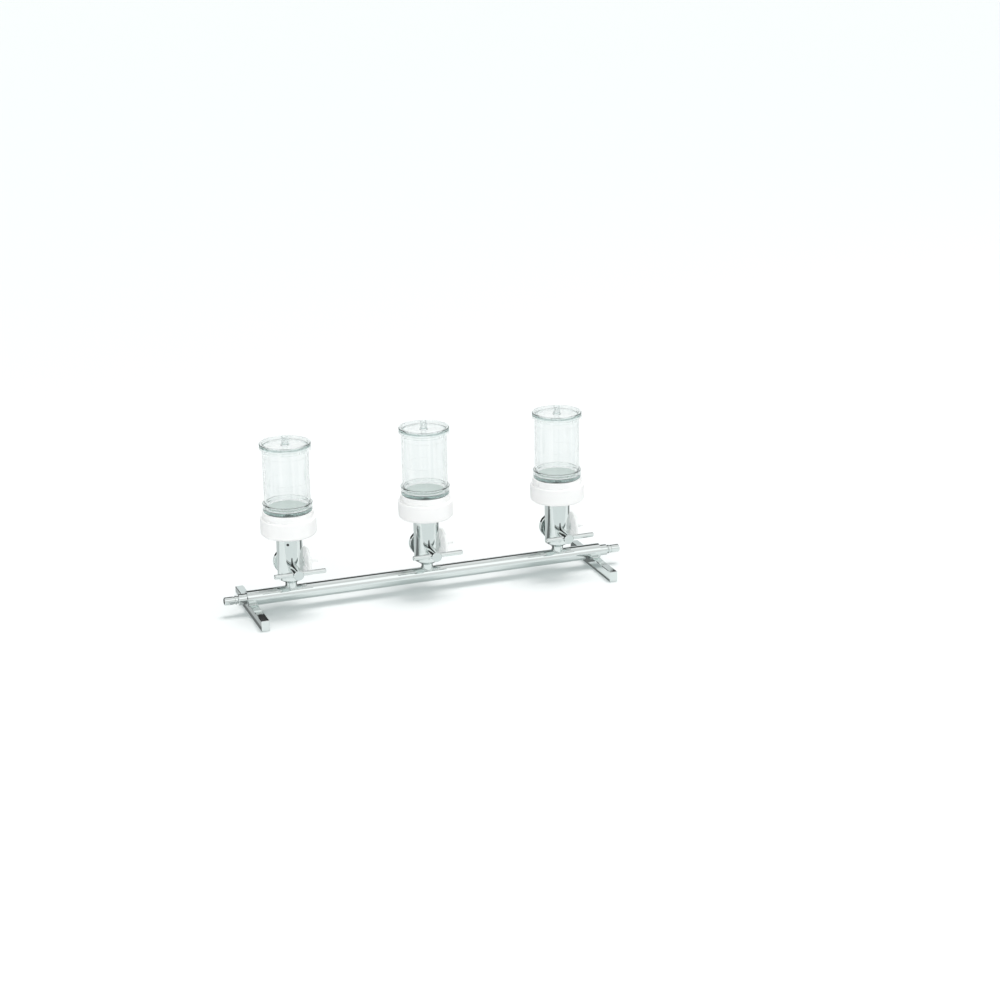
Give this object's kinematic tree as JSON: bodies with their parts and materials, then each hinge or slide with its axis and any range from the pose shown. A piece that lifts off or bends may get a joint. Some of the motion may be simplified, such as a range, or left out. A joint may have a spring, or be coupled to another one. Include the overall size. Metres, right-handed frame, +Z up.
{
  "type": "vacuum filtration manifold",
  "caption": "Bench vacuum manifold: a suction pipe on foot bars carries a row of plug valves, each with a vent filter and a clear lidded filter funnel on a white base.",
  "frame": {"origin": "on the bench under the middle station, at the middle of the foot bars", "axes": "+X along the suction pipe, towards the side the vent filters point to; the turning handles face -Y; +Z up"},
  "size_m": [0.468, 0.1186, 0.1973],
  "materials": {
    "polished_steel": "polished stainless steel",
    "spring_steel": "plain stainless",
    "screw_steel": "dark oxide",
    "white_plastic": "moulded, satin",
    "vent_shell": "moulded, smooth",
    "vent_membrane": "porous sheet",
    "filter_membrane": "porous sheet, matte",
    "clear_plastic": "clear, polished",
    "rubber": "matte"
  },
  "bodies": {
    "manifold": {"manifold_pipe": "polished_steel", "foot_left": "polished_steel", "foot_right": "polished_steel", "hose_nozzle_left": "polished_steel", "hose_nozzle_right": "polished_steel", "valve_body_left": "polished_steel", "base_set_screw_left": "screw_steel", "vent_port_left": "polished_steel", "funnel_base_left": "white_plastic", "base_oring_left": "rubber", "seat_gasket_left": "rubber", "valve_body_middle": "polished_steel", "base_set_screw_middle": "screw_steel", "vent_port_middle": "polished_steel", "funnel_base_middle": "white_plastic", "base_oring_middle": "rubber", "seat_gasket_middle": "rubber", "valve_body_right": "polished_steel", "base_set_screw_right": "screw_steel", "vent_port_right": "polished_steel", "funnel_base_right": "white_plastic", "base_oring_right": "rubber", "seat_gasket_right": "rubber"},
    "key_left": {"valve_key_left": "polished_steel", "key_lever_left": "polished_steel", "key_washer_left": "spring_steel", "key_spring_left": "spring_steel", "key_cap_left": "polished_steel"},
    "vent_filter_left": {"vent_filter_inlet_left": "vent_shell", "vent_filter_outlet_left": "vent_shell", "vent_filter_membrane_left": "vent_membrane"},
    "dish_left": {"filter_dish_left": "clear_plastic", "membrane_filter_left": "filter_membrane"},
    "funnel_left": {"funnel_tube_left": "clear_plastic"},
    "lid_left": {"funnel_lid_left": "clear_plastic"},
    "key_middle": {"valve_key_middle": "polished_steel", "key_lever_middle": "polished_steel", "key_washer_middle": "spring_steel", "key_spring_middle": "spring_steel", "key_cap_middle": "polished_steel"},
    "vent_filter_middle": {"vent_filter_inlet_middle": "vent_shell", "vent_filter_outlet_middle": "vent_shell", "vent_filter_membrane_middle": "vent_membrane"},
    "dish_middle": {"filter_dish_middle": "clear_plastic", "membrane_filter_middle": "filter_membrane"},
    "funnel_middle": {"funnel_tube_middle": "clear_plastic"},
    "lid_middle": {"funnel_lid_middle": "clear_plastic"},
    "key_right": {"valve_key_right": "polished_steel", "key_lever_right": "polished_steel", "key_washer_right": "spring_steel", "key_spring_right": "spring_steel", "key_cap_right": "polished_steel"},
    "vent_filter_right": {"vent_filter_inlet_right": "vent_shell", "vent_filter_outlet_right": "vent_shell", "vent_filter_membrane_right": "vent_membrane"},
    "dish_right": {"filter_dish_right": "clear_plastic", "membrane_filter_right": "filter_membrane"},
    "funnel_right": {"funnel_tube_right": "clear_plastic"},
    "lid_right": {"funnel_lid_right": "clear_plastic"}
  },
  "joints": [
    {"name": "key_turn_left", "type": "hinge", "parent": "manifold", "child": "key_left", "pos_m": [-0.158, 0, 0.0498], "axis": [0, 1, 0], "continuous": true},
    {"name": "vent_filter_pull_left", "type": "slide", "parent": "manifold", "child": "vent_filter_left", "axis": [1, 0, 0], "range_m": [0, 0.02]},
    {"name": "dish_lift_left", "type": "slide", "parent": "manifold", "child": "dish_left", "axis": [0, 0, 1], "range_m": [0, 0.03]},
    {"name": "funnel_lift_left", "type": "slide", "parent": "dish_left", "child": "funnel_left", "axis": [0, 0, 1], "range_m": [0, 0.03]},
    {"name": "lid_lift_left", "type": "slide", "parent": "funnel_left", "child": "lid_left", "axis": [0, 0, 1], "range_m": [0, 0.04]},
    {"name": "key_turn_middle", "type": "hinge", "parent": "manifold", "child": "key_middle", "pos_m": [0, 0, 0.0498], "axis": [0, 1, 0], "continuous": true},
    {"name": "vent_filter_pull_middle", "type": "slide", "parent": "manifold", "child": "vent_filter_middle", "axis": [1, 0, 0], "range_m": [0, 0.02]},
    {"name": "dish_lift_middle", "type": "slide", "parent": "manifold", "child": "dish_middle", "axis": [0, 0, 1], "range_m": [0, 0.03]},
    {"name": "funnel_lift_middle", "type": "slide", "parent": "dish_middle", "child": "funnel_middle", "axis": [0, 0, 1], "range_m": [0, 0.03]},
    {"name": "lid_lift_middle", "type": "slide", "parent": "funnel_middle", "child": "lid_middle", "axis": [0, 0, 1], "range_m": [0, 0.04]},
    {"name": "key_turn_right", "type": "hinge", "parent": "manifold", "child": "key_right", "pos_m": [0.158, 0, 0.0498], "axis": [0, 1, 0], "continuous": true},
    {"name": "vent_filter_pull_right", "type": "slide", "parent": "manifold", "child": "vent_filter_right", "axis": [1, 0, 0], "range_m": [0, 0.02]},
    {"name": "dish_lift_right", "type": "slide", "parent": "manifold", "child": "dish_right", "axis": [0, 0, 1], "range_m": [0, 0.03]},
    {"name": "funnel_lift_right", "type": "slide", "parent": "dish_right", "child": "funnel_right", "axis": [0, 0, 1], "range_m": [0, 0.03]},
    {"name": "lid_lift_right", "type": "slide", "parent": "funnel_right", "child": "lid_right", "axis": [0, 0, 1], "range_m": [0, 0.04]}
  ]
}
